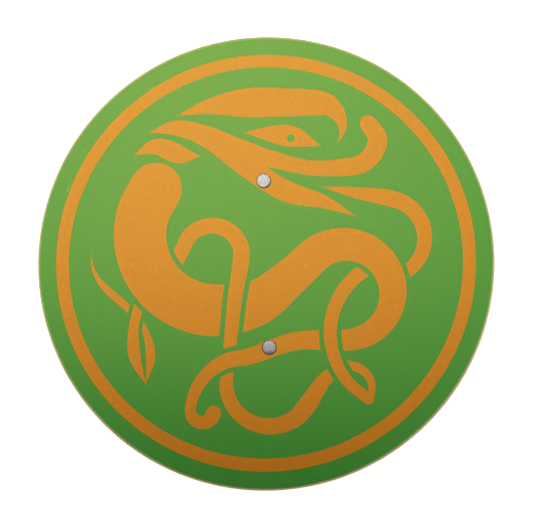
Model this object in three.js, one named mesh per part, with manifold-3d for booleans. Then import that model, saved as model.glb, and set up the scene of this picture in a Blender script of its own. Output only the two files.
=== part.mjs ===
// Child's round play shield: a plywood disc, painted on the front, with a leather
// hand strap on the back. Two rivets go through the disc and the strap's ends.
// The shield lies face up on its strap, whose crown is pressed flat.
//
// Millimetres, +Z up. The origin is on the surface that the shield lies on,
// straight below the middle of the disc. +Y points to the top of the face and
// +X to its right.

import * as THREE from "three";
import { mergeVertices } from "three/addons/utils/BufferGeometryUtils.js";
import Module from "manifold-3d";

const wasm = await Module();
wasm.setup();

// Disc
const BOARD_RADIUS = 150;
const BOARD_THICKNESS = 6;
const BOARD_ARRIS = 0.5;
const BOARD_SEGMENTS = 160;

// Rivets. The pair was drilled a little off the upright.
const RIVET_SPACING = 110.2;
const RIVET_LEAN = THREE.MathUtils.degToRad(1.9);
const RIVET_MIDDLE = new THREE.Vector2(0.9, -2.1);
const HEAD_RADIUS = 4.75;
const HEAD_EDGE = 0.5;
const HEAD_DOME = 0.9;
const SHANK_RADIUS = 2;
const TAIL_RADIUS = 4.25;
const TAIL_EDGE = 0.4;
const TAIL_DOME = 0.8;
const HOLE_CLEARANCE = 0.3;
const ROUND_SEGMENTS = 40;
const DOME_STEPS = 5;

// Strap. Bend radii are to the middle of the leather.
const STRAP_WIDTH = 28;
const STRAP_THICKNESS = 3;
const HAND_ROOM = 24;
const TAB_BEND_RADIUS = 9;
const CROWN_BEND_RADIUS = 20;
const BEND_ANGLE = THREE.MathUtils.degToRad(58);
const TAB_INNER_LENGTH = 9;
const BEND_STEPS = 10;

// Heights
const STRAP_TAB_BOTTOM = HAND_ROOM;
const BOARD_BACK = STRAP_TAB_BOTTOM + STRAP_THICKNESS;
const BOARD_FRONT = BOARD_BACK + BOARD_THICKNESS;

const RIVETS = {
  rivet_upper: rivetPlace(RIVET_SPACING / 2),
  rivet_lower: rivetPlace(-RIVET_SPACING / 2),
};

const paintedPlywood = new THREE.MeshStandardMaterial({
  name: "painted_plywood", color: 0x5f9c3d, roughness: 0.55, metalness: 0,
});
const tanLeather = new THREE.MeshStandardMaterial({
  name: "tan_leather", color: 0x9a6436, roughness: 0.7, metalness: 0,
});
const nickel = new THREE.MeshStandardMaterial({
  name: "nickel", color: 0xc9c9cc, roughness: 0.35, metalness: 1,
});

// A point on the line of the rivets, measured along it from its middle.
function rivetPlace(along) {
  return new THREE.Vector2(0, along)
    .rotateAround(new THREE.Vector2(), RIVET_LEAN)
    .add(RIVET_MIDDLE);
}

function toManifold(geometry) {
  const bare = geometry.clone();
  bare.deleteAttribute("normal");
  bare.deleteAttribute("uv");
  const merged = mergeVertices(bare);
  return new wasm.Manifold(new wasm.Mesh({
    numProp: 3,
    vertProperties: new Float32Array(merged.attributes.position.array),
    triVerts: new Uint32Array(merged.index.array),
  }));
}

function toGeometry(manifold) {
  const mesh = manifold.getMesh();
  const geometry = new THREE.BufferGeometry();
  geometry.setAttribute("position", new THREE.BufferAttribute(mesh.vertProperties, 3));
  geometry.setIndex(new THREE.BufferAttribute(mesh.triVerts, 1));
  geometry.computeVertexNormals();
  return geometry;
}

function subMesh(name, geometry, material) {
  const mesh = new THREE.Mesh(geometry, material);
  mesh.name = name;
  return mesh;
}

// A turned solid about +Z from (radius, height) points, given bottom to top.
function turned(points, segments) {
  return new THREE.LatheGeometry(points, segments).rotateX(Math.PI / 2);
}

// Points over a shallow dome, from its rim at (radius, rimHeight) up to the axis.
function domePoints(radius, rimHeight, rise) {
  const sphere = (radius ** 2 + rise ** 2) / (2 * rise);
  const halfAngle = Math.asin(radius / sphere);
  const points = [];
  for (let step = 0; step <= DOME_STEPS; step++) {
    const angle = halfAngle * (1 - step / DOME_STEPS);
    const height = rimHeight + rise - sphere * (1 - Math.cos(angle));
    points.push(new THREE.Vector2(sphere * Math.sin(angle), height));
  }
  points[DOME_STEPS].x = 0;
  return points;
}

// The two clearance holes, from well below the strap's ends to well above the face.
function drillHoles(solid) {
  const radius = SHANK_RADIUS + HOLE_CLEARANCE;
  const drill = new THREE.CylinderGeometry(radius, radius, 2 * BOARD_FRONT, ROUND_SEGMENTS)
    .rotateX(Math.PI / 2);
  let drilled = solid;
  for (const place of Object.values(RIVETS)) {
    const hole = drill.clone().translate(place.x, place.y, BOARD_FRONT);
    drilled = drilled.subtract(toManifold(hole));
  }
  return drilled;
}

function board() {
  const rim = BOARD_RADIUS - BOARD_ARRIS;
  const profile = [
    new THREE.Vector2(0, BOARD_BACK),
    new THREE.Vector2(rim, BOARD_BACK),
    new THREE.Vector2(BOARD_RADIUS, BOARD_BACK + BOARD_ARRIS),
    new THREE.Vector2(BOARD_RADIUS, BOARD_FRONT - BOARD_ARRIS),
    new THREE.Vector2(rim, BOARD_FRONT),
    new THREE.Vector2(0, BOARD_FRONT),
  ];
  const disc = toManifold(turned(profile, BOARD_SEGMENTS));
  return subMesh("board", toGeometry(drillHoles(disc)), paintedPlywood);
}

function rivet(name) {
  const headUnderside = BOARD_FRONT;
  const tailTopside = STRAP_TAB_BOTTOM;
  const tailDome = domePoints(TAIL_RADIUS, 0, TAIL_DOME)
    .map((point) => new THREE.Vector2(point.x, tailTopside - TAIL_EDGE - point.y))
    .reverse();
  const profile = [
    ...tailDome,
    new THREE.Vector2(TAIL_RADIUS, tailTopside),
    new THREE.Vector2(SHANK_RADIUS, tailTopside),
    new THREE.Vector2(SHANK_RADIUS, headUnderside),
    new THREE.Vector2(HEAD_RADIUS, headUnderside),
    ...domePoints(HEAD_RADIUS, headUnderside + HEAD_EDGE, HEAD_DOME),
  ];
  const mesh = subMesh(name, turned(profile, ROUND_SEGMENTS), nickel);
  mesh.position.set(RIVETS[name].x, RIVETS[name].y, 0);
  return mesh;
}

// The strap's side outline: x runs along the strap and y is the height. Each end
// lies flat on the disc, and a tight bend and a wide one lead down to the flat crown.
function strapOutline() {
  const half = STRAP_THICKNESS / 2;
  const radii = TAB_BEND_RADIUS + CROWN_BEND_RADIUS;
  const slopeLength = (HAND_ROOM - radii * (1 - Math.cos(BEND_ANGLE))) / Math.sin(BEND_ANGLE);
  const bendSpan = radii * Math.sin(BEND_ANGLE) + slopeLength * Math.cos(BEND_ANGLE);
  const tabEnd = RIVET_SPACING / 2 + STRAP_WIDTH / 2;
  const tabX = RIVET_SPACING / 2 - TAB_INNER_LENGTH;
  const tabY = STRAP_TAB_BOTTOM + half - TAB_BEND_RADIUS;
  const crownX = tabX - bendSpan;
  const crownY = half + CROWN_BEND_RADIUS;
  const up = Math.PI / 2;
  const down = -Math.PI / 2;
  const outline = new THREE.Shape();

  outline.moveTo(-tabEnd, STRAP_TAB_BOTTOM);
  outline.absarc(-tabX, tabY, TAB_BEND_RADIUS - half, up, up - BEND_ANGLE, true);
  outline.absarc(-crownX, crownY, CROWN_BEND_RADIUS + half, down - BEND_ANGLE, down, false);
  outline.absarc(crownX, crownY, CROWN_BEND_RADIUS + half, down, down + BEND_ANGLE, false);
  outline.absarc(tabX, tabY, TAB_BEND_RADIUS - half, up + BEND_ANGLE, up, true);
  outline.lineTo(tabEnd, STRAP_TAB_BOTTOM);

  outline.lineTo(tabEnd, BOARD_BACK);
  outline.absarc(tabX, tabY, TAB_BEND_RADIUS + half, up, up + BEND_ANGLE, false);
  outline.absarc(crownX, crownY, CROWN_BEND_RADIUS - half, down + BEND_ANGLE, down, true);
  outline.absarc(-crownX, crownY, CROWN_BEND_RADIUS - half, down, down - BEND_ANGLE, true);
  outline.absarc(-tabX, tabY, TAB_BEND_RADIUS + half, up - BEND_ANGLE, up, false);
  outline.lineTo(-tabEnd, BOARD_BACK);
  return outline;
}

// The strap's outline from above: straight sides and round ends about the rivets.
function strapPlan() {
  const endX = STRAP_WIDTH / 2;
  const endY = RIVET_SPACING / 2;
  const plan = new THREE.Shape();
  plan.absarc(0, endY, endX, 0, Math.PI, false);
  plan.absarc(0, -endY, endX, Math.PI, 2 * Math.PI, false);
  return plan;
}

function strap() {
  const ribbon = new THREE.ExtrudeGeometry(strapOutline(), {
    depth: STRAP_WIDTH, bevelEnabled: false, curveSegments: BEND_STEPS,
  });
  ribbon.translate(0, 0, -STRAP_WIDTH / 2).applyMatrix4(new THREE.Matrix4().makeBasis(
    new THREE.Vector3(0, 1, 0), new THREE.Vector3(0, 0, 1), new THREE.Vector3(1, 0, 0),
  ));
  const cutter = new THREE.ExtrudeGeometry(strapPlan(), {
    depth: 2 * BOARD_FRONT, bevelEnabled: false, curveSegments: ROUND_SEGMENTS / 2,
  });
  cutter.translate(0, 0, -BOARD_FRONT / 2);
  const place = (geometry) => geometry.rotateZ(RIVET_LEAN)
    .translate(RIVET_MIDDLE.x, RIVET_MIDDLE.y, 0);
  const cut = toManifold(place(ribbon)).intersect(toManifold(place(cutter)));
  return subMesh("strap", toGeometry(drillHoles(cut)), tanLeather);
}

const group = new THREE.Group();
group.add(board(), strap(), rivet("rivet_upper"), rivet("rivet_lower"));

export default group;
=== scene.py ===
import math

import bmesh
import bpy
import numpy as np
from mathutils import Matrix, Vector, noise
from mathutils.geometry import delaunay_2d_cdt


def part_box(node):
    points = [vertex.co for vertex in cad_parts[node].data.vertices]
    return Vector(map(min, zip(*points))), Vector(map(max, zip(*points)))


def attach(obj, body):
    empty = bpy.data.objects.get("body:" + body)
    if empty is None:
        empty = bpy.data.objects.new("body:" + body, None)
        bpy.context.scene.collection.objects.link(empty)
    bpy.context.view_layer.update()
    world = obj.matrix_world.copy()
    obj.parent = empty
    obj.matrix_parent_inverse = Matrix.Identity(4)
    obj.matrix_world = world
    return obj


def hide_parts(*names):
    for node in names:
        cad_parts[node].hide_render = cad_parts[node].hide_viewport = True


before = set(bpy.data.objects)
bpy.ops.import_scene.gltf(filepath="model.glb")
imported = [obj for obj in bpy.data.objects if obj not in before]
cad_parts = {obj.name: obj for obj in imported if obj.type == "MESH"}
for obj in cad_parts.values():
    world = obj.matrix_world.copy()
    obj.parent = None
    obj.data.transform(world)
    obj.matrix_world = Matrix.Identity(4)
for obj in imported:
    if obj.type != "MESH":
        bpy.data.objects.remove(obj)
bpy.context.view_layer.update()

MM = 0.001
UP = Vector((0, 0, 1))
TOWARDS_TOP = Vector((0, 1, 0))

# Child's round play shield: a plywood disc painted green, with a gold ring and a gold
# interlaced beast, two nickel rivets and a leather hand strap behind. It lies face up.
# Lengths are metres. The drawing of the beast is in millimetres from the disc's middle.

# Places and sizes that the frame gives
board_low, board_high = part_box("board")
BACK = board_low.z
FRONT = board_high.z
RADIUS = (board_high.x - board_low.x) / 2
RIVET_NAMES = ("rivet_upper", "rivet_lower")
RIVET_BOXES = {name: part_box(name) for name in RIVET_NAMES}
RIVETS = {name: (low + high) / 2 for name, (low, high) in RIVET_BOXES.items()}
HEAD_RADIUS = (RIVET_BOXES["rivet_upper"][1].x - RIVET_BOXES["rivet_upper"][0].x) / 2
HEAD_TOP = RIVET_BOXES["rivet_upper"][1].z
TAIL_BOTTOM = RIVET_BOXES["rivet_upper"][0].z

# Disc
ARRIS = 0.5 * MM
ARRIS_STEPS = 3
PLY_JOINTS = (1.0 * MM, 2.35 * MM, 3.65 * MM, 5.0 * MM)
GLUE_GROOVE = 0.05 * MM
DISC_SEGMENTS = 288
HOLE_RADIUS = 2.3 * MM
HOLE_SEGMENTS = 48

# Paint, in coats one above the other. Each reaches a little into what is below it.
WOOD_TOP = FRONT - 0.05 * MM
GREEN_TOP = FRONT + 0.03 * MM
GOLD_TOP = FRONT + 0.09 * MM
COAT_SINK = 0.01 * MM
GREEN_RADIUS = RADIUS - 0.95 * MM
GREEN_MIDDLE = Vector((0, 0.2 * MM, 0))
RING_INNER = 0.862 * RADIUS
RING_OUTER = 0.919 * RADIUS

# Rivets
SHANK_RADIUS = 2 * MM
TAIL_RADIUS = 4.25 * MM
TAIL_EDGE = 0.4 * MM
TAIL_RINGS = 8
RIVET_SEGMENTS = 72
FLAT_RADIUS = 4.45 * MM
FLAT_RINGS = 14
ROLLED_RINGS = 7
FLAT_BLEND = 0.05 * MM
DENT_SIZE = 1.7 * MM
DENT_DEPTH = 0.012 * MM

# Strap. Bend radii are to the middle of the leather.
STRAP_WIDTH = 28 * MM
STRAP_THICKNESS = 3 * MM
TAB_BEND_RADIUS = 9 * MM
CROWN_BEND_RADIUS = 20 * MM
BEND_ANGLE = math.radians(58)
TAB_INNER_LENGTH = 9 * MM
HAND_ROOM = BACK - STRAP_THICKNESS
EDGE_ROUNDNESS = 1.4 * MM
EDGE_POWER = 2.6
DIMPLE_DEPTH = 0.25 * MM
DIMPLE_RADIUS = 5.2 * MM
DIMPLE_POWER = 8


# Node trees

class Value:
    """An output of a node, or what an expression on such outputs gives."""

    def __init__(self, tree, socket):
        self.tree = tree
        self.socket = socket

    def __add__(self, other):
        return self.tree.maths("ADD", self, other)

    def __sub__(self, other):
        return self.tree.maths("SUBTRACT", self, other)

    def __rsub__(self, other):
        return self.tree.maths("SUBTRACT", other, self)

    def __mul__(self, other):
        return self.tree.maths("MULTIPLY", self, other)

    def __truediv__(self, other):
        return self.tree.maths("DIVIDE", self, other)

    def __pow__(self, other):
        return self.tree.maths("POWER", self, other)

    __radd__ = __add__
    __rmul__ = __mul__


class Tree:
    """A node tree written as calls and expressions."""

    def __init__(self, tree):
        self.tree = tree

    def node(self, kind, settings=None, inputs=None, output=0):
        """A node of this kind, or rather one of its outputs, if it has any.

        Its settings are made before its inputs are fed.
        """
        node = self.tree.nodes.new(kind)
        for name, setting in (settings or {}).items():
            setattr(node, name, setting)
        for name, value in (inputs or {}).items():
            if isinstance(value, Value):
                self.tree.links.new(value.socket, node.inputs[name])
            else:
                node.inputs[name].default_value = value
        return None if output is None else Value(self, node.outputs[output])

    def maths(self, operation, *values):
        return self.node("ShaderNodeMath", {"operation": operation}, dict(enumerate(values)))

    def vector_maths(self, operation, *values):
        return self.node("ShaderNodeVectorMath", {"operation": operation}, dict(enumerate(values)))

    def parts(self, vector):
        """The three parts of a vector."""
        inputs = {"Vector": vector}
        return [self.node("ShaderNodeSeparateXYZ", None, inputs, axis) for axis in range(3)]

    def joined(self, x, y, z):
        return self.node("ShaderNodeCombineXYZ", None, {"X": x, "Y": y, "Z": z})


class Finish(Tree):
    """A material's nodes."""

    def __init__(self, name):
        self.material = bpy.data.materials.new(name)
        self.material.use_nodes = True
        super().__init__(self.material.node_tree)
        self.tree.nodes.clear()

    def place(self, stretch=(1, 1, 1), turn=0.0, centre=(0, 0, 0)):
        """Object coordinates in a frame of their own, for a pattern that is stretched along it.

        The frame is turned about a centre. A stretch of 0 leaves its axis out.
        """
        here = self.node("ShaderNodeTexCoord", None, None, "Object")
        inputs = {"Vector": here, "Location": centre, "Rotation": (0, 0, turn), "Scale": stretch}
        return self.node("ShaderNodeMapping", {"vector_type": "TEXTURE"}, inputs)

    def attribute(self, name, output):
        return self.node("ShaderNodeAttribute", {"attribute_name": name}, None, output)

    def noise(self, place, size, detail=2.0, roughness=0.5):
        """Cloudy noise from 0 to 1, whose spots are about size across."""
        inputs = {"Vector": place, "Scale": 1 / size, "Detail": detail, "Roughness": roughness}
        return self.node("ShaderNodeTexNoise", None, inputs)

    def cells(self, place, size, feature="F1", output="Distance"):
        """Scattered cells about size across."""
        inputs = {"Vector": place, "Scale": 1 / size}
        return self.node("ShaderNodeTexVoronoi", {"feature": feature}, inputs, output)

    def rise(self, value, low, high):
        """0 below low, 1 above high and smooth between. High may be below low."""
        settings = {"interpolation_type": "SMOOTHSTEP"}
        inputs = {"Value": value, "From Min": min(low, high), "From Max": max(low, high)}
        up = self.node("ShaderNodeMapRange", settings, inputs)
        return up if high > low else 1 - up

    def around(self, value, spread):
        """Noise from 0 to 1 turned into a factor that varies about 1."""
        return value * (2 * spread) + (1 - spread)

    def mix(self, factor, first, second):
        """A colour between two colours."""
        settings = {"data_type": "RGBA", "clamp_factor": True}
        return self.node("ShaderNodeMix", settings, {0: factor, 6: first, 7: second}, 2)

    def shade(self, colour, factor):
        """A colour made lighter or darker."""
        grey = self.joined(factor, factor, factor)
        return self.vector_maths("MULTIPLY", colour, grey)

    def length(self, vector):
        return self.node("ShaderNodeVectorMath", {"operation": "LENGTH"}, {0: vector}, "Value")

    def distance_from(self, centre):
        """How far a point is from the upright line through a centre."""
        return self.length(self.place((1, 1, 0), centre=(centre.x, centre.y, 0)))

    def bump(self, height, distance):
        inputs = {"Height": height, "Distance": distance, "Strength": 1.0}
        return self.node("ShaderNodeBump", None, inputs)

    def surface(self, **inputs):
        """Ends the material with a surface. Names are the shader's own, with _ for a space."""
        named = {name.replace("_", " "): value for name, value in inputs.items()}
        shader = self.node("ShaderNodeBsdfPrincipled", None, named)
        self.node("ShaderNodeOutputMaterial", None, {"Surface": shader}, None)
        return self.material


def colour(code):
    """A colour given as #rrggbb, as the shader's own numbers."""
    channels = [int(code[start:start + 2], 16) / 255 for start in (1, 3, 5)]
    linear = [c / 12.92 if c <= 0.04045 else ((c + 0.055) / 1.055) ** 2.4 for c in channels]
    return (*linear, 1.0)


def sum_of(values):
    total = values[0]
    for value in values[1:]:
        total = total + value
    return total


# Meshes

def piece_from(name, vertices, faces, finish, sharp_angle=30):
    """A piece of the object from its vertices and faces."""
    mesh = bpy.data.meshes.new(name)
    mesh.from_pydata([tuple(v) for v in vertices], [], [tuple(f) for f in faces])
    mesh.validate()
    return piece_of(name, mesh, finish, sharp_angle)


def piece_of(name, mesh, finish, sharp_angle=30):
    mesh.shade_smooth()
    mesh.set_sharp_from_angle(angle=math.radians(sharp_angle))
    mesh.materials.clear()
    mesh.materials.append(finish)
    mesh.name = name
    piece = bpy.data.objects.new(name, mesh)
    bpy.context.scene.collection.objects.link(piece)
    return piece


def turned(profile, segments, centre=(0, 0)):
    """Vertices and faces of a closed solid turned about an upright axis.

    The profile is (radius, height) points from the axis below to the axis above. A point
    off the axis may be a function that gives the two from the angle.
    """
    vertices = [(centre[0], centre[1], profile[0][1])]
    rings = profile[1:-1]
    for ring in rings:
        for step in range(segments):
            angle = 2 * math.pi * step / segments
            radius, height = ring(angle) if callable(ring) else ring
            x = centre[0] + radius * math.cos(angle)
            y = centre[1] + radius * math.sin(angle)
            vertices.append((x, y, height))
    vertices.append((centre[0], centre[1], profile[-1][1]))
    top = len(vertices) - 1
    faces = []
    for step in range(segments):
        after = (step + 1) % segments
        faces.append((0, 1 + after, 1 + step))
        for ring in range(len(rings) - 1):
            low = 1 + ring * segments
            high = low + segments
            faces.append((low + step, low + after, high + after, high + step))
        last = 1 + (len(rings) - 1) * segments
        faces.append((top, last + step, last + after))
    return vertices, faces


def rounded(centre, start, end, radius, steps):
    """Points along an arc about a centre, between two directions in degrees."""
    points = []
    for step in range(steps + 1):
        angle = math.radians(start + (end - start) * step / steps)
        points.append((centre[0] + radius * math.cos(angle), centre[1] + radius * math.sin(angle)))
    return points


def drilled(name, mesh):
    """The mesh with the two rivets' holes cut through it."""
    piece = bpy.data.objects.new(name, mesh)
    bpy.context.scene.collection.objects.link(piece)
    drills = []
    for place in RIVETS.values():
        profile = [(0, -BACK), (HOLE_RADIUS, -BACK), (HOLE_RADIUS, 2 * FRONT), (0, 2 * FRONT)]
        vertices, faces = turned(profile, HOLE_SEGMENTS, (place.x, place.y))
        drill_mesh = bpy.data.meshes.new("drill")
        drill_mesh.from_pydata(vertices, [], faces)
        drill = bpy.data.objects.new("drill", drill_mesh)
        bpy.context.scene.collection.objects.link(drill)
        cut = piece.modifiers.new("hole", "BOOLEAN")
        cut.operation = "DIFFERENCE"
        cut.solver = "EXACT"
        cut.object = drill
        drills.append(drill)
    result = finished(piece)
    for drill in drills:
        bpy.data.objects.remove(drill)
    return result


def finished(piece):
    """The piece's mesh with its modifiers applied. The piece itself is removed."""
    bpy.context.view_layer.update()
    evaluated = piece.evaluated_get(bpy.context.evaluated_depsgraph_get())
    mesh = bpy.data.meshes.new_from_object(evaluated)
    bpy.data.objects.remove(piece)
    return mesh


# Wood

def bare_plywood():
    """Pale veneer with its grain along the shield, and five plies at the edge."""
    wood = Finish("bare_plywood")
    x, y, z = wood.parts(wood.place())
    round_x = x * x / (x * x + y * y)

    # Grain of the back: long streaks, bent by slow waves into a few arches
    drift = wood.noise(wood.place((1, 2.9, 1)), 60 * MM, 2) * (34 * MM)
    bent = wood.joined(x + drift, y * 0.045, z)
    arches = wood.noise(bent, 9 * MM, 3, 0.55)
    fibres = wood.noise(wood.joined(x, y * 0.03, z * 0.1), 0.9 * MM, 3, 0.6)
    pores = wood.cells(wood.joined(x, y * 0.12, z * 0.1), 1.6 * MM)
    streak = wood.rise(arches, 0.36, 0.74)
    veneer = wood.mix(streak * 0.75, colour("#e2c79c"), colour("#c9a473"))
    veneer = wood.shade(veneer, wood.around(fibres, 0.13))
    veneer = wood.shade(veneer, 1 - wood.rise(pores, 0.16, 0.05) * 0.18)

    # The edge: plies whose grain runs along the shield or across it
    depth = z - BACK
    across = sum_of([wood.rise(depth, joint - 0.06 * MM, joint + 0.06 * MM) * sign
                     for joint, sign in zip(PLY_JOINTS, (1, -1, 1, -1))])
    end_grain = 1 - (across * (1 - round_x) + (1 - across) * round_x)
    layers = wood.noise(wood.joined(x, y, z * 14), 7 * MM, 3, 0.6)
    specks = wood.noise(wood.place(), 0.5 * MM, 2)
    edge = wood.mix(end_grain, colour("#f3e7c6"), colour("#d9c699"))
    edge = wood.shade(edge, wood.around(layers, 0.12))
    edge = wood.shade(edge, 1 - (1 - wood.around(specks, 0.16)) * end_grain)
    glue = sum_of([wood.rise(wood.maths("ABSOLUTE", depth - joint), 0.14 * MM, 0.05 * MM)
                   for joint in PLY_JOINTS])
    edge = wood.mix(glue * 0.5, edge, colour("#6b4c2a"))

    radius = wood.distance_from(Vector((0, 0, 0)))
    at_edge = wood.rise(radius, RADIUS - 0.9 * MM, RADIUS - 0.3 * MM)
    base = wood.mix(at_edge, veneer, edge)
    relief = fibres * 0.6 + arches * 0.4 + layers * at_edge * 0.4
    return wood.surface(
        Base_Color=base,
        Roughness=wood.around(fibres, 0.08) * 0.62,
        Normal=wood.bump(relief, 0.12 * MM),
        Specular_IOR_Level=0.35,
    )


def plywood_disc():
    """The disc: arrises rubbed off, glue lines just felt at the edge, two holes."""
    low, high = BACK, WOOD_TOP
    rim = RADIUS - ARRIS
    profile = [(0, low)]
    profile += [(rim * part, low) for part in (0.25, 0.5, 0.75)]
    profile += rounded((rim, low + ARRIS), -90, 0, ARRIS, ARRIS_STEPS)
    for joint in PLY_JOINTS:
        height = low + joint
        profile += [
            (RADIUS, height - 0.12 * MM),
            (RADIUS - GLUE_GROOVE, height - 0.03 * MM),
            (RADIUS - GLUE_GROOVE, height + 0.03 * MM),
            (RADIUS, height + 0.12 * MM),
        ]
    profile += rounded((rim, high - ARRIS), 0, 90, ARRIS, ARRIS_STEPS)
    profile += [(rim * part, high) for part in (0.75, 0.5, 0.25)]
    profile += [(0, high)]
    vertices, faces = turned(profile, DISC_SEGMENTS)
    mesh = bpy.data.meshes.new("plywood_disc")
    mesh.from_pydata(vertices, [], faces)
    return piece_of("plywood_disc", drilled("plywood_disc", mesh), bare_plywood(), 40)


# Paint

PAINT_SHINE = {
    "Specular_IOR_Level": 0.3,
    "Specular_Tint": (1.0, 0.9, 0.33, 1.0),
}


def shadow_and_grime_round_rivets(paint):
    """1 in the thin dark line round each rivet's head, uneven along it: a painted contact shadow
    with grime.
    """
    uneven = paint.rise(paint.noise(paint.place(), 3.5 * MM), 0.3, 0.6)
    marks = []
    for place in RIVETS.values():
        distance = paint.distance_from(place)
        outer = paint.rise(distance, HEAD_RADIUS + 0.4 * MM, HEAD_RADIUS)
        marks.append(outer * (uneven * 0.45 + 0.55))
    return sum_of(marks)


def green_paint():
    """Even satin green with faint brush streaks and a few pale rubs."""
    paint = Finish("green_paint")
    streaks = paint.noise(paint.place((1, 20, 1)), 3 * MM, 3, 0.6)
    grain = paint.noise(paint.place(), 1.0 * MM, 2, 0.7)
    tint = paint.noise(paint.place(centre=(0.5, 0, 0)), 1.1 * MM, 2, 0.7)
    base = paint.mix(paint.rise(tint, 0.3, 0.7), colour("#36a14b"), colour("#4a9e3e"))
    base = paint.shade(base, paint.around(streaks, 0.05))
    base = paint.shade(base, paint.around(grain, 0.13))
    rubs = pale_rubs(paint)
    base = paint.mix(rubs * 0.4, base, colour("#b9d3a0"))

    # The coat thins towards bare wood at its edge, except round the bottom
    radius = paint.distance_from(GREEN_MIDDLE)
    ragged = paint.noise(paint.place(), 2.5 * MM, 3, 0.6)
    worn = paint.rise(paint.distance_from(Vector((0, -RADIUS, 0))), 40 * MM, 105 * MM)
    thin = paint.rise(radius, GREEN_RADIUS - 1.1 * MM, GREEN_RADIUS) * (ragged * 0.6 + 0.1)
    base = paint.mix(thin * worn, base, colour("#dcdca8"))
    # Painted contact shadow with grime: a dark line round each rivet's head
    base = paint.mix(shadow_and_grime_round_rivets(paint), base, colour("#2f1c0c"))
    return paint.surface(
        Base_Color=base,
        Roughness=0.33 + (streaks - 0.5) * 0.05 + rubs * 0.1,
        Normal=paint.bump(streaks * 0.5 + grain * 0.5, 0.03 * MM),
        **PAINT_SHINE,
    )


# Rubs: x and y of the middle, half length, half width in mm, and the turn in degrees
RUBS = [
    (-75, 116, 3, 1.6, 30),
    (-130, 50, 8, 0.7, 72),
    (-119, 75, 4, 0.6, 58),
]


def pale_rubs(paint):
    """Small pale rubs near the rim and a few scattered specks of dust."""
    frayed = paint.rise(paint.noise(paint.place(), 1.6 * MM, 3, 0.7), 0.42, 0.62)
    rubs = []
    for x, y, length, width, turn in RUBS:
        place = paint.place((length * MM, width * MM, 0), math.radians(turn),
                            (x * MM, y * MM, 0))
        rubs.append(paint.rise(paint.length(place), 1.0, 0.3) * frayed)
    dust = paint.rise(paint.cells(paint.place(), 24 * MM), 0.018, 0.008)
    return sum_of(rubs) + dust * 0.8


def gold_paint():
    """Ochre gold with a fine speckle and sparse metallic flecks whose glints are painted in as
    bright colour.
    """
    paint = Finish("gold_paint")
    speckle = paint.noise(paint.place(), 1.2 * MM, 3, 0.65)
    fine = paint.noise(paint.place(), 0.8 * MM, 2, 0.7)
    red = paint.noise(paint.place(centre=(0.5, 0, 0)), 1.0 * MM, 2, 0.7)
    base = paint.mix(paint.rise(red, 0.3, 0.7), colour("#de8409"), colour("#d7942b"))
    base = paint.shade(base, paint.around(speckle, 0.13))
    base = paint.shade(base, paint.around(fine, 0.12))
    # Painted glints: sparse flakes of the metallic paint are coloured bright gold, as if catching
    # the light
    glinting_flecks = paint.rise(paint.cells(paint.place(), 4 * MM), 0.11, 0.05)
    chance = paint.rise(paint.noise(paint.place(), 6 * MM), 0.48, 0.58)
    base = paint.mix(glinting_flecks * chance * 0.6, base, colour("#f2c25c"))
    # Painted contact shadow with grime: a dark line round each rivet's head
    base = paint.mix(shadow_and_grime_round_rivets(paint), base, colour("#3b2210"))
    return paint.surface(
        Base_Color=base,
        Roughness=0.33 + (speckle - 0.5) * 0.08,
        Normal=paint.bump(speckle * 0.7 + fine * 0.3, 0.05 * MM),
        **PAINT_SHINE,
    )


def circle(x, y, radius, segments):
    angles = np.arange(segments) * (2 * math.pi / segments)
    return np.stack([x + radius * np.cos(angles), y + radius * np.sin(angles)], axis=1)


def rivet_holes():
    return [circle(place.x, place.y, HOLE_RADIUS, HOLE_SEGMENTS) for place in RIVETS.values()]


def winding(outline, spots):
    """How many times the outline goes round each spot, anticlockwise."""
    start_x, start_y = outline.T
    end_x, end_y = np.roll(outline, -1, axis=0).T
    x, y = spots[:, :1], spots[:, 1:]
    side = (end_x - start_x) * (y - start_y) - (x - start_x) * (end_y - start_y)
    rising = (start_y <= y) & (end_y > y) & (side > 0)
    falling = (start_y > y) & (end_y <= y) & (side < 0)
    return rising.sum(axis=1) - falling.sum(axis=1)


def paint_coat(name, outlines, painted, bottom, top, finish):
    """A closed coat of paint wherever the painted test says so, edged by the outlines."""
    points = []
    edges = []
    for outline in outlines:
        first = len(points)
        count = len(outline)
        points += [Vector(spot) / MM for spot in outline]
        edges += [(first + step, first + (step + 1) % count) for step in range(count)]
    merge_distance = 0.002
    spots, _, triangles, *_ = delaunay_2d_cdt(points, edges, [], 0, merge_distance)
    spots = np.array([tuple(spot) for spot in spots]) * MM
    triangles = np.array(triangles)
    triangles = triangles[painted(spots[triangles].mean(axis=1))]

    used, triangles = np.unique(triangles, return_inverse=True)
    triangles = triangles.reshape(-1, 3)
    count = len(used)
    vertices = [(x, y, bottom) for x, y in spots[used]] + [(x, y, top) for x, y in spots[used]]
    faces = []
    sides = set()
    for a, b, c in triangles.tolist():
        faces.append((c, b, a))
        faces.append((count + a, count + b, count + c))
        sides |= {(a, b), (b, c), (c, a)}
    for a, b in sorted(sides):
        if (b, a) not in sides:
            faces.append((a, b, count + b, count + a))
    return piece_from(name, vertices, faces, finish)


def outside_holes(spots):
    clear = np.ones(len(spots), bool)
    for place in RIVETS.values():
        clear &= np.hypot(spots[:, 0] - place.x, spots[:, 1] - place.y) > HOLE_RADIUS
    return clear


def green_coat():
    edge = circle(GREEN_MIDDLE.x, GREEN_MIDDLE.y, GREEN_RADIUS, DISC_SEGMENTS)
    return paint_coat("green_coat", [edge, *rivet_holes()], outside_holes,
                      WOOD_TOP - COAT_SINK, GREEN_TOP, green_paint())


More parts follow.
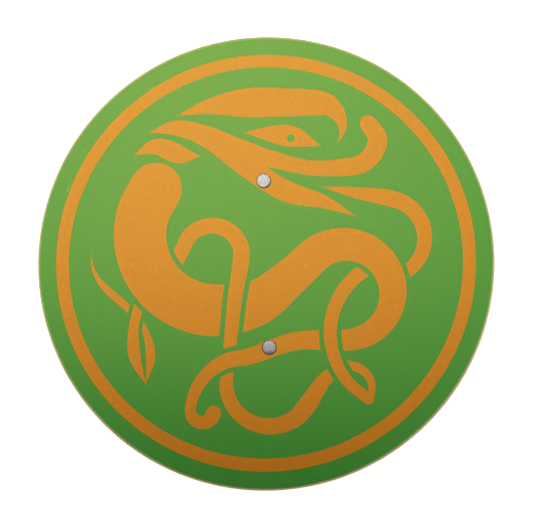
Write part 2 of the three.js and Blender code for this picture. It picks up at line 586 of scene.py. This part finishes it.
def gold_ring(finish):
    outer = circle(0, 0, RING_OUTER, DISC_SEGMENTS)
    inner = circle(0, 0, RING_INNER, DISC_SEGMENTS)

    def painted(spots):
        return np.hypot(*spots.T) > RING_INNER

    return paint_coat("gold_ring", [outer, inner], painted,
                      GREEN_TOP - COAT_SINK, GOLD_TOP, finish)


# The beast, a plain one of interlaced bands in the old Norse manner. Each stroke is a list
# of (x, y, half width) in mm from the disc's middle, most of it along round arcs.

ARC_STEP = 20
STROKE_STEPS = 8
CAP_STEPS = 10


def arc(x, y, radius, start, end, first_half, last_half):
    """Points of a stroke along an arc, every ARC_STEP degrees or so, with an even taper."""
    steps = max(2, round(abs(end - start) / ARC_STEP))
    points = []
    for step in range(steps + 1):
        share = step / steps
        angle = math.radians(start + (end - start) * share)
        half = first_half + (last_half - first_half) * share
        points.append((x + radius * math.cos(angle), y + radius * math.sin(angle), half))
    return points


STROKES = {
    "crest": [(-59, 97, 0), (-38, 103, 5), (-14, 105.5, 9.5), (14, 105.5, 9.5),
              *arc(34, 88, 17, 75, -35, 8, 0)],
    "eye": [(-14, 85.5, 0), (2, 84.5, 5), (18, 82.5, 7), (37, 76, 0)],
    "upper_jaw": [(-77, 86, 0), (-60, 89, 5), (-40, 84, 6.5), (-18, 74, 7.5), (8, 66.5, 5.5),
                  (30, 61.5, 5), *arc(55, 81, 19, 270, 360, 6, 6.5), (68, 91, 5.5)],
    "lower_jaw": [(-58, 86, 1), (-38, 80, 5), (-12, 62.5, 7), (14, 46, 7), (38, 39, 4.5),
                  (60, 29, 0)],
    "neck_leaf": [(-87, 71, 0), (-72, 76.5, 5.5), (-56, 71, 6), (-43, 70, 0)],
    "body": [*arc(-32, 18, 50.5, 143, 270, 17.5, 17), (-6, -28, 15), (16, -11.5, 12.5),
             *arc(52, -21, 31.5, 120, -90, 11.5, 7), (20, -53, 6),
             *arc(-11, -101, 38, 90, 172, 5.5, 3.5), *arc(-41, -98.5, 7.5, 190, 350, 3.8, 5)],
    "foreleg": [(-64, -10, 5), *arc(-35, 4, 19.5, 165, 5, 5, 5.5), (-20, -26, 4.8),
                *arc(3, -80, 28.5, 165, 330, 4.2, 6), (40, -77, 4.5),
                *arc(55, -84, 14.5, 100, -35, 3.5, 2)],
    "ribbon": arc(92, -48, 49.5, 108, 240, 5, 3.6),
    "beard": [(37, 49, 0), (58, 45, 3.5), *arc(78, 14.5, 26.5, 80, -50, 5.5, 4.5), (84, -13, 4)],
    "hind_leg": [*arc(-82, 6, 33, 178, 232, 0, 2.6), (-88, -33, 2.4), (-79, -45, 2),
                 (-75, -62, 3.2), (-78, -81, 0)],
    "hind_foot": [(-80, -21, 3.5), (-86, -42, 3.2), (-85.5, -62, 4), (-78, -81, 0)],
}
ROUND_STARTED = ("body",)
ROUND_ENDED = ("upper_jaw", "body", "ribbon")
PUPIL = (17, 81.5, 2.6)

# Where one stroke passes over another: the upper one, the lower one, the place, how far
# round it the lower one is cut back, and the green gap that is left
CROSSINGS = [
    ("body", "foreleg", -61, 0, 14, 3),
    ("foreleg", "body", -20, -32, 24, 3.2),
    ("body", "foreleg", -25, -65.5, 14, 3),
    ("ribbon", "body", 42.5, -52, 15.5, 3),
    ("ribbon", "foreleg", 48.5, -71.5, 9, 3),
    ("body", "ribbon", 73, -5, 14, 3),
    ("body", "beard", 88, -9, 14, 3),
    ("body", "hind_foot", -83.5, -29.5, 11, 3),
    ("hind_foot", "hind_leg", -84.5, -36.5, 10, 2.5),
]


def between(first, second, start, end, time):
    """What lies between two values at a time between theirs."""
    share = (time - start) / (end - start)
    return first * (1 - share) + second * share


def smooth_line(points, steps):
    """A centripetal Catmull-Rom curve through the points."""
    knots = np.array(points, float)
    before = 2 * knots[0] - knots[1]
    beyond = 2 * knots[-1] - knots[-2]
    knots = np.vstack([before, knots, beyond])
    line = []
    for four in zip(knots, knots[1:], knots[2:], knots[3:]):
        gaps = [math.dist(a[:2], b[:2]) ** 0.5 for a, b in zip(four, four[1:])]
        times = np.cumsum([0, *gaps])
        for time in np.linspace(times[1], times[2], steps, endpoint=False):
            level = four
            for reach in (1, 2):
                level = [between(level[i], level[i + 1], times[i], times[i + reach], time)
                         for i in range(len(level) - 1)]
            line.append(between(level[0], level[1], times[1], times[2], time))
    line.append(knots[-2])
    return np.array(line)


def stroke_outline(points, margin=0.0, round_start=False, round_end=False):
    """The anticlockwise outline of a stroke, in metres, widened by a margin in mm."""
    line = smooth_line(points, STROKE_STEPS)
    spots = line[:, :2]
    half = np.maximum(line[:, 2:], 0) + margin
    along = np.gradient(spots, axis=0)
    along /= np.linalg.norm(along, axis=1, keepdims=True)
    left = np.stack([-along[:, 1], along[:, 0]], axis=1)

    def cap(end, first_turn):
        heading = math.atan2(along[end, 1], along[end, 0])
        turns = heading + first_turn + np.arange(1, CAP_STEPS) * (math.pi / CAP_STEPS)
        return spots[end] + half[end] * np.stack([np.cos(turns), np.sin(turns)], axis=1)

    outline = [spots - left * half]
    if round_end or margin:
        outline.append(cap(-1, -math.pi / 2))
    outline.append((spots + left * half)[::-1])
    if round_start or margin:
        outline.append(cap(0, math.pi / 2))
    return np.vstack(outline) * MM


def gold_beast(finish):
    strokes = {name: stroke_outline(points, 0, name in ROUND_STARTED, name in ROUND_ENDED)
               for name, points in STROKES.items()}
    cuts = [(under, np.array((x, y)) * MM, reach * MM, stroke_outline(STROKES[over], gap))
            for over, under, x, y, reach, gap in CROSSINGS]
    pupil = circle(*(length * MM for length in PUPIL), HOLE_SEGMENTS)

    def painted(spots):
        gold = np.zeros(len(spots), bool)
        for name, outline in strokes.items():
            inside = winding(outline, spots) > 0
            for under, place, reach, widened in cuts:
                if under == name:
                    near = np.hypot(*(spots - place).T) < reach
                    inside &= ~(near & (winding(widened, spots) > 0))
            gold |= inside
        gold &= winding(pupil, spots) == 0
        return gold & outside_holes(spots)

    outlines = [*strokes.values(), *(cut[3] for cut in cuts), pupil, *rivet_holes()]
    return paint_coat("gold_beast", outlines, painted, GREEN_TOP - COAT_SINK, GOLD_TOP, finish)


# Rivets

def nickel():
    """Satin nickel, mottled and scratched, with painted shade in dull brown round its rim."""
    metal = Finish("nickel")
    mottle = metal.noise(metal.place(), 1.0 * MM, 3, 0.6)
    scratches = metal.noise(metal.place((5, 0.7, 1), math.radians(28)), 0.5 * MM, 2, 0.6)
    crossed = metal.noise(metal.place((4, 0.7, 1), math.radians(-50)), 0.6 * MM, 2, 0.6)
    scored = metal.rise(scratches, 0.52, 0.7) + metal.rise(crossed, 0.56, 0.72)
    above = metal.rise(metal.parts(metal.place())[2], BACK, FRONT)
    # Painted shade: the rolled rim of each head turns dull dark brown and less metallic
    rim = sum_of([shaded_rim_of(metal, place) for place in RIVETS.values()]) * above
    base = metal.mix(mottle, colour("#6a6768"), colour("#cfcacb"))
    base = metal.shade(base, 1 - scored * 0.2)
    base = metal.mix(rim * 0.85, base, colour("#45301f"))
    return metal.surface(
        Base_Color=base,
        Metallic=1 - rim * 0.5,
        Roughness=0.49 + mottle * 0.1 + scored * 0.05 + rim * 0.15,
        Normal=metal.bump(mottle - scored * 0.3, 0.03 * MM),
    )


def shaded_rim_of(metal, place):
    """1 at the rim of the rivet's head, uneven round it, where shade is painted in."""
    distance = metal.distance_from(place)
    near = metal.rise(distance, HEAD_RADIUS + 2 * MM, HEAD_RADIUS + 1 * MM)
    uneven = metal.noise(metal.place(), 2.5 * MM) * (0.6 * MM)
    return metal.rise(distance + uneven, 4.8 * MM, 5.15 * MM) * near


# How each head was hammered. Its flats are (bearing, slope, reach): each falls away towards
# its bearing by its slope, in degrees, from its reach out of the middle, in mm. Its outline
# has waves (count, size, angle) and nicks (angle, depth, half width), in degrees.
HAMMERED = {
    "rivet_upper": {
        "flats": [(0, 0, 0), (-60, 6, 3.5), (150, 6, 3.4), (60, 6, 3.6)],
        "waves": [(2, 0.010, 34), (3, 0.012, 137), (5, 0.012, 52)],
        "nicks": [(-28, 0.045, 9)],
    },
    "rivet_lower": {
        "flats": [(-90, 0.5, -4), (-90, 5, -2.4), (-90, 10, 0), (-90, 19, 1.6)],
        "waves": [(2, 0.008, -90), (3, 0.022, 90), (5, 0.008, 115)],
        "nicks": [],
    },
}


def hammered_height(spot, place, flats):
    """The height of a head at a spot about its middle: the lowest of its flats, dented."""
    drops = []
    for bearing, slope, reach in flats:
        way = Vector((math.cos(math.radians(bearing)), math.sin(math.radians(bearing))))
        drops.append((spot.dot(way) - reach * MM) * math.tan(math.radians(slope)))
    most = max(drops)
    excess = sum(math.exp((each - most) / FLAT_BLEND) for each in drops)
    drop = most + FLAT_BLEND * math.log(excess)
    dents = noise.noise((place.xy + spot).to_3d() / DENT_SIZE)
    return HEAD_TOP - drop + DENT_DEPTH * (dents - 1)


def hammered_reach(angle, waves, nicks):
    """How far out a head's edge is at an angle, as a share of its radius."""
    share = 1 - sum(size for _, size, _ in waves)
    for count, size, middle in waves:
        share += size * math.cos(count * (angle - math.radians(middle)))
    for middle, depth, half_width in nicks:
        off = math.remainder(angle - math.radians(middle), 2 * math.pi)
        share -= depth * math.exp(-(off / math.radians(half_width)) ** 2)
    return share


def head_ring(place, form, inner_share, turn):
    """A ring of a head: on its flats, or at a turn in degrees down its rolled edge."""
    roll = HEAD_RADIUS - FLAT_RADIUS

    def ring(angle):
        reach = hammered_reach(angle, form["waves"], form["nicks"])
        way = Vector((math.cos(angle), math.sin(angle)))
        inner = FLAT_RADIUS * inner_share * reach
        top = hammered_height(way * inner, place, form["flats"])
        down = (top - GOLD_TOP) * (1 - math.cos(math.radians(turn)))
        return inner + roll * reach * math.sin(math.radians(turn)), top - down

    return ring


def rivet(name, finish):
    """A rivet: its tail, its shank, and its hammered head with a rolled edge."""
    place = RIVETS[name]
    form = HAMMERED[name]
    tail_top = BACK - STRAP_THICKNESS
    tail_rise = tail_top - TAIL_EDGE - TAIL_BOTTOM
    profile = [(0, TAIL_BOTTOM)]
    for step in range(1, TAIL_RINGS + 1):
        share = step / TAIL_RINGS
        profile.append((TAIL_RADIUS * share, TAIL_BOTTOM + tail_rise * share ** 2))
    profile += [(TAIL_RADIUS, tail_top), (SHANK_RADIUS, tail_top), (SHANK_RADIUS, GOLD_TOP)]
    for step in range(ROLLED_RINGS, 0, -1):
        profile.append(head_ring(place, form, 1, 90 * step / ROLLED_RINGS))
    for step in range(FLAT_RINGS, 0, -1):
        profile.append(head_ring(place, form, step / FLAT_RINGS, 0))
    profile.append((0, hammered_height(Vector((0, 0)), place, form["flats"])))
    vertices, faces = turned(profile, RIVET_SEGMENTS, (place.x, place.y))
    return piece_from(name + "_head", vertices, faces, finish, 35)


# Strap

# Steps along each stretch of half the strap, from its middle to its end
CROWN_STEPS = 8
CROWN_BEND_STEPS = 16
SLOPE_STEPS = 6
TAB_BEND_STEPS = 12
TAB_STEPS = 4
END_STEPS = 16


def shares(steps):
    """The shares of a stretch that each of its steps ends at."""
    return [step / steps for step in range(1, steps + 1)]


def strap_path():
    """(along, height, bend) at stations down the middle of the leather, half of them.

    Along is measured from the strap's middle. Bend says how sharply it is bent, up to 1.
    """
    radii = TAB_BEND_RADIUS + CROWN_BEND_RADIUS
    slope = (HAND_ROOM - radii * (1 - math.cos(BEND_ANGLE))) / math.sin(BEND_ANGLE)
    span = radii * math.sin(BEND_ANGLE) + slope * math.cos(BEND_ANGLE)
    rivet_gap = (RIVETS["rivet_upper"] - RIVETS["rivet_lower"]).xy.length
    tab = rivet_gap / 2 - TAB_INNER_LENGTH
    crown = tab - span
    low = STRAP_THICKNESS / 2
    high = HAND_ROOM + low
    stations = [(0.0, low, 0.0)]
    stations += [(crown * share, low, 0.0) for share in shares(CROWN_STEPS)]
    for share in shares(CROWN_BEND_STEPS):
        turn = BEND_ANGLE * share
        stations.append((crown + CROWN_BEND_RADIUS * math.sin(turn),
                         low + CROWN_BEND_RADIUS * (1 - math.cos(turn)), 0.5))
    slope_start = Vector(stations[-1][:2])
    slope_way = Vector((math.cos(BEND_ANGLE), math.sin(BEND_ANGLE)))
    for share in shares(SLOPE_STEPS):
        spot = slope_start + slope_way * (slope * share)
        stations.append((spot.x, spot.y, 0.3))
    for share in [0, *shares(TAB_BEND_STEPS)]:
        turn = BEND_ANGLE * (1 - share)
        stations.append((tab - TAB_BEND_RADIUS * math.sin(turn),
                         high - TAB_BEND_RADIUS * (1 - math.cos(turn)), 1.0))
    for share in shares(TAB_STEPS):
        stations.append((tab + TAB_INNER_LENGTH * share, high, 0.0))
    for share in shares(END_STEPS):
        past_rivet = STRAP_WIDTH / 2 * math.sin(math.pi / 2 * share)
        stations.append((rivet_gap / 2 + past_rivet, high, 0.0))
    return stations


class StrapTree(Tree):
    """Bends a strip of leather with round ends and soft edges along a path."""

    def __init__(self):
        super().__init__(bpy.data.node_groups.new("bent_strap", "GeometryNodeTree"))
        self.sockets = {}
        self.add_socket("Path", "NodeSocketGeometry")
        for name in ("Width", "Thickness", "Edge Roundness", "Dimple Depth"):
            self.add_socket(name, "NodeSocketFloat")
        self.add_socket("Across", "NodeSocketVector")
        self.add_socket("Edge Points", "NodeSocketInt")
        self.add_socket("Leather", "NodeSocketMaterial")
        self.tree.interface.new_socket("Strap", in_out="OUTPUT", socket_type="NodeSocketGeometry")
        self.inputs = self.tree.nodes.new("NodeGroupInput")
        self.build()

    def add_socket(self, name, kind):
        socket = self.tree.interface.new_socket(name, in_out="INPUT", socket_type=kind)
        self.sockets[name] = socket.identifier

    def given(self, name):
        return Value(self, self.inputs.outputs[name])

    def stored(self, geometry, name, value, kind="FLOAT"):
        settings = {"data_type": kind, "domain": "POINT"}
        inputs = {"Geometry": geometry, "Name": name, "Value": value}
        return self.node("GeometryNodeStoreNamedAttribute", settings, inputs)

    def named(self, name, kind="FLOAT"):
        settings = {"data_type": kind}
        return self.node("GeometryNodeInputNamedAttribute", settings, {"Name": name})

    def build(self):
        half_width = self.given("Width") * 0.5
        half_thickness = self.given("Thickness") * 0.5

        # Stations of the path keep their place, direction and distance along it
        path = self.node("GeometryNodeMeshToCurve", None, {"Mesh": self.given("Path")})
        here = self.node("GeometryNodeInputPosition")
        tangent = self.node("GeometryNodeInputTangent")
        run = self.node("GeometryNodeSplineParameter", None, None, "Length")
        path = self.stored(path, "middle", here, "FLOAT_VECTOR")
        path = self.stored(path, "way", tangent, "FLOAT_VECTOR")
        path = self.stored(path, "run", run)

        # The section goes once round: its cosine is the share across, its sine the face
        section = self.node("GeometryNodeCurvePrimitiveCircle", None,
                            {"Resolution": self.given("Edge Points"), "Radius": 1.0})
        across, face, _ = self.parts(here)
        section = self.stored(section, "share", across)
        section = self.stored(section, "face", self.maths("SIGN", face))
        strip = self.node("GeometryNodeCurveToMesh", None,
                          {"Curve": path, "Profile Curve": section, "Fill Caps": False})

        # How far each point is from the cut edge, round ends included
        run = self.named("run")
        length = self.node("GeometryNodeAttributeStatistic",
                           {"data_type": "FLOAT", "domain": "POINT"},
                           {"Geometry": strip, "Attribute": run}, "Max")
        from_tip = self.maths("MINIMUM", run, length - run)
        past_centre = self.maths("MAXIMUM", half_width - from_tip, 0.0)
        half_chord = self.maths("SQRT", self.maths(
            "MAXIMUM", half_width * half_width - past_centre * past_centre, 0.0))
        offset = self.named("share") * half_chord
        reach = self.maths("SQRT", offset * offset + past_centre * past_centre)
        margin = self.maths("MAXIMUM", half_width - reach, 0.0)

        # The edge is rounded off, and the leather is squeezed under each rivet's tail
        share_in = self.maths("MINIMUM", margin / self.given("Edge Roundness"), 1.0)
        swell = (1 - (1 - share_in) ** EDGE_POWER) ** (1 / EDGE_POWER)
        past_rivet = from_tip - half_width
        from_rivet = self.maths("SQRT", offset * offset + past_rivet * past_rivet)
        squeeze = self.given("Dimple Depth") / (1 + (from_rivet / DIMPLE_RADIUS) ** DIMPLE_POWER)
        side = self.named("face")
        below = self.maths("MAXIMUM", side * -1, 0.0)
        height = side * swell * half_thickness + below * squeeze * swell

        way = self.named("way", "FLOAT_VECTOR")
        width_way = self.vector_maths("NORMALIZE", self.given("Across"))
        up_way = self.vector_maths("CROSS_PRODUCT", width_way, way)
        place = self.vector_maths(
            "ADD", self.named("middle", "FLOAT_VECTOR"),
            self.vector_maths("ADD", self.scaled(width_way, offset), self.scaled(up_way, height)))
        strip = self.node("GeometryNodeSetPosition", None, {"Geometry": strip, "Position": place})
        strip = self.stored(strip, "edge", margin)
        strip = self.stored(strip, "flat", self.joined(offset, run, height), "FLOAT_VECTOR")
        strip = self.node("GeometryNodeMergeByDistance", None,
                          {"Geometry": strip, "Distance": 0.005 * MM})
        strip = self.node("GeometryNodeRealizeInstances", None, {"Geometry": strip})
        strip = self.node("GeometryNodeSetMaterial", None,
                          {"Geometry": strip, "Material": self.given("Leather")})
        output = self.tree.nodes.new("NodeGroupOutput")
        self.tree.links.new(strip.socket, output.inputs["Strap"])

    def scaled(self, vector, factor):
        settings = {"operation": "SCALE"}
        return self.node("ShaderNodeVectorMath", settings, {0: vector, "Scale": factor})


def tan_leather():
    """Oiled tan leather: fine grain, creases at the bends darkened with painted shade, dark rubbed
    edges.
    """
    leather = Finish("tan_leather")
    flat = leather.attribute("flat", "Vector")
    bend = leather.attribute("bend", "Fac")
    margin = leather.attribute("edge", "Fac")
    offset, run, height = leather.parts(flat)
    grain = leather.cells(flat, 1.1 * MM, "DISTANCE_TO_EDGE")
    wear = leather.noise(flat, 16 * MM, 3, 0.6)
    pull = leather.noise(leather.joined(offset * 0.35, run, height), 2.4 * MM, 3, 0.6)
    shaded_creases = leather.rise(pull, 0.5, 0.68) * leather.rise(bend, 0.2, 0.9)
    base = leather.mix(wear, colour("#a5683a"), colour("#8d5730"))
    base = leather.shade(base, leather.around(leather.noise(flat, 3 * MM, 2), 0.12))
    # Painted shade darkens the creases at the bends
    base = leather.mix(shaded_creases * 0.5, base, colour("#6a3d1f"))
    rubbed = leather.rise(margin, 1.5 * MM, 0.4 * MM)
    base = leather.mix(rubbed * 0.75, base, colour("#4f2c16"))
    lines = leather.rise(grain, 0.12, 0.0)
    return leather.surface(
        Base_Color=base,
        Roughness=0.52 - rubbed * 0.12 + wear * 0.1,
        Normal=leather.bump(0.6 - lines * 0.5 - shaded_creases * 1.6 + pull * 0.3, 0.12 * MM),
        Specular_IOR_Level=0.45,
    )


def hand_strap():
    """The strap, bent along its path by the node tree and drilled for the rivets."""
    half = strap_path()
    stations = [(-along, height, bend) for along, height, bend in half[:0:-1]] + half
    middle = (RIVETS["rivet_upper"] + RIVETS["rivet_lower"]) / 2
    way = (RIVETS["rivet_upper"] - RIVETS["rivet_lower"]).to_3d()
    way.z = 0
    way.normalize()
    points = [(middle.x + way.x * along, middle.y + way.y * along, height)
              for along, height, _ in stations]
    mesh = bpy.data.meshes.new("strap_path")
    mesh.from_pydata(points, [(i, i + 1) for i in range(len(points) - 1)], [])
    bend = mesh.attributes.new("bend", "FLOAT", "POINT")
    bend.data.foreach_set("value", [station[2] for station in stations])
    path = bpy.data.objects.new("strap_path", mesh)
    bpy.context.scene.collection.objects.link(path)

    leather = tan_leather()
    tree = StrapTree()
    modifier = path.modifiers.new("strap", "NODES")
    modifier.node_group = tree.tree
    given = {
        "Width": STRAP_WIDTH,
        "Thickness": STRAP_THICKNESS,
        "Edge Roundness": EDGE_ROUNDNESS,
        "Dimple Depth": DIMPLE_DEPTH,
        "Across": tuple(way.cross(UP)),
        "Edge Points": 64,
        "Leather": leather,
    }
    for name, value in given.items():
        modifier[tree.sockets[name]] = value
    mesh = drilled("hand_strap", outward(finished(path)))
    return piece_of("hand_strap", mesh, leather, 60)


def outward(mesh):
    """The mesh with its faces turned outwards."""
    form = bmesh.new()
    form.from_mesh(mesh)
    bmesh.ops.recalc_face_normals(form, faces=form.faces)
    form.to_mesh(mesh)
    form.free()
    return mesh


# Studio

def white_floor():
    """A plain white floor that curves up far behind, so that it shows no end."""
    flat_radius = 3.2
    cove_radius = 1.6
    profile = [(flat_radius * part, 0) for part in (0.1, 0.3, 0.6)]
    profile += rounded((flat_radius, cove_radius), -90, 0, cove_radius, 16)
    segments = 96
    vertices = [(0, 0, 0)]
    for radius, height in profile:
        for angle in np.arange(segments) * (2 * math.pi / segments):
            vertices.append((radius * math.cos(angle), radius * math.sin(angle), height))
    faces = []
    for step in range(segments):
        after = (step + 1) % segments
        faces.append((0, 1 + step, 1 + after))
        for ring in range(len(profile) - 1):
            low = 1 + ring * segments
            faces.append((low + after, low + step, low + segments + step, low + segments + after))
    floor = piece_from("floor", vertices, faces, floor_white())
    return floor


def floor_white():
    white = Finish("floor_white")
    return white.surface(
        Base_Color=(0.45, 0.45, 0.45, 1.0),
        Roughness=0.9,
        Specular_IOR_Level=0.0,
        Emission_Color=(1.0, 1.0, 1.0, 1.0),
        Emission_Strength=0.9,
    )


def aimed(place, target, up):
    """Stands at a place and looks at a target, with up towards the top."""
    back = (place - target).normalized()
    right = up.cross(back).normalized()
    turn = Matrix((right, back.cross(right), back)).transposed()
    return Matrix.Translation(place) @ turn.to_4x4()


def softbox(name, place, target, size, spread, power):
    """A square soft light that the camera doesn't see. Its spread is in degrees."""
    light = bpy.data.lights.new(name, "AREA")
    light.shape = "SQUARE"
    light.size = size
    light.spread = math.radians(spread)
    light.energy = power
    lamp = bpy.data.objects.new(name, light)
    lamp.matrix_world = aimed(place, target, TOWARDS_TOP)
    lamp.visible_camera = False
    bpy.context.scene.collection.objects.link(lamp)


def studio():
    """The floor, one soft light above the top of the face, a faint sky and the film."""
    white_floor()
    place = Vector((-0.1, 0.5, 1.0))
    lean_x, lean_y = math.radians(-5), math.radians(15)
    target = place - Vector((math.tan(lean_x), math.tan(lean_y), 1))
    softbox("gridded_softbox", place, target, size=0.8, spread=25, power=1.5)
    world = bpy.data.worlds.new("studio")
    world.use_nodes = True
    background = world.node_tree.nodes["Background"]
    background.inputs["Color"].default_value = (1.0, 1.0, 1.0, 1.0)
    background.inputs["Strength"].default_value = 0.02
    bpy.context.scene.world = world
    view = bpy.context.scene.view_settings
    view.view_transform = "Standard"
    view.look = "None"
    view.exposure = 0.0
    view.gamma = 0.8


def camera():
    """Almost straight above, leaning a little to the lower right."""
    lean = math.radians(8)
    bearing = math.radians(20)
    distance = 1.5
    face = Vector((0, 0, FRONT))
    aim = face + Vector((0.87, 1.47, 0)) * MM
    sideways = math.sin(lean)
    way = Vector((math.sin(bearing) * sideways, -math.cos(bearing) * sideways, math.cos(lean)))
    lens = bpy.data.cameras.new("camera")
    lens.lens = 154.5
    lens.sensor_width = 36
    view = bpy.data.objects.new("camera", lens)
    view.matrix_world = aimed(aim + way * distance, aim, TOWARDS_TOP)
    bpy.context.scene.collection.objects.link(view)
    bpy.context.scene.camera = view


# The object

camera()
studio()

disc = plywood_disc()
gold = gold_paint()
coats = [green_coat(), gold_ring(gold), gold_beast(gold)]
metal = nickel()
heads = {name: rivet(name, metal) for name in RIVET_NAMES}
strap = hand_strap()

for piece in (disc, *coats, *heads.values(), strap):
    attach(piece, "root")
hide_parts("board")
for name, head in heads.items():
    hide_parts(name)
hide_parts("strap")
